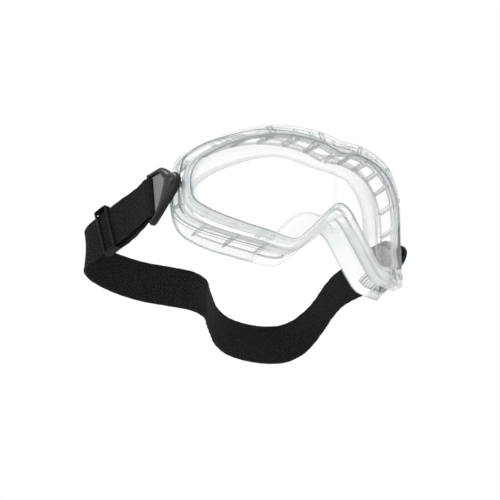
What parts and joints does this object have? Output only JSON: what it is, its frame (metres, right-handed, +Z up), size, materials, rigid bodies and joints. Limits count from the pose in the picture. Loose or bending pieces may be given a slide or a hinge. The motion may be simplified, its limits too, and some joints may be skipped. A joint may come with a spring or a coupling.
{
  "type": "protective goggles",
  "caption": "Clear wrap-round protective goggles with vented body, soft face seal, swivelling strap clips and an adjustable elastic head strap.",
  "frame": {"origin": "middle of the face seal, between the brow and the nose, where the wearer's face holds the goggles", "axes": "+X to the right seen from the front, +Y from the lens towards the face, +Z up as worn"},
  "size_m": [0.1851, 0.1544, 0.0837],
  "materials": {
    "clear_frame": "water-clear polished moulding",
    "lens": "polished clear polycarbonate",
    "clear_body": "clear moulding with fine texture",
    "clear_soft": "soft translucent skirt",
    "grey_plastic": "satin mid grey",
    "black_gloss": "polished black",
    "black_matte": "satin black",
    "elastic": "woven black elastic",
    "thread": "black sewing thread"
  },
  "bodies": {
    "goggles": {"front_frame": "clear_frame", "bezel_snap_tabs": "clear_frame", "lens": "lens", "lens_gasket": "clear_soft", "vent_body": "clear_body", "face_seal": "clear_soft", "top_vent_baffle": "clear_body", "left_vent_baffle": "clear_body", "right_vent_baffle": "clear_body", "left_pivot_pin": "grey_plastic", "right_pivot_pin": "grey_plastic"},
    "clips_and_strap": {"left_clip": "black_gloss", "left_clip_plate": "grey_plastic", "right_clip": "black_gloss", "right_clip_plate": "grey_plastic", "head_strap": "elastic", "left_strap_return": "elastic", "right_strap_end": "elastic", "right_strap_stitching": "thread"},
    "slider_body": {"slider": "black_matte", "slider_fold": "elastic", "slider_stitching": "thread"}
  },
  "joints": [
    {"name": "strap_pivot", "type": "hinge", "parent": "goggles", "child": "clips_and_strap", "pos_m": [-0.085, 0.0205, 0.0025], "axis": [1, 0, 0], "range_deg": [-25, 45]},
    {"name": "slider_travel", "type": "slide", "parent": "clips_and_strap", "child": "slider_body", "axis": [-0.2081, 0.9286, -0.3074], "range_m": [-0.006, 0.004]}
  ]
}
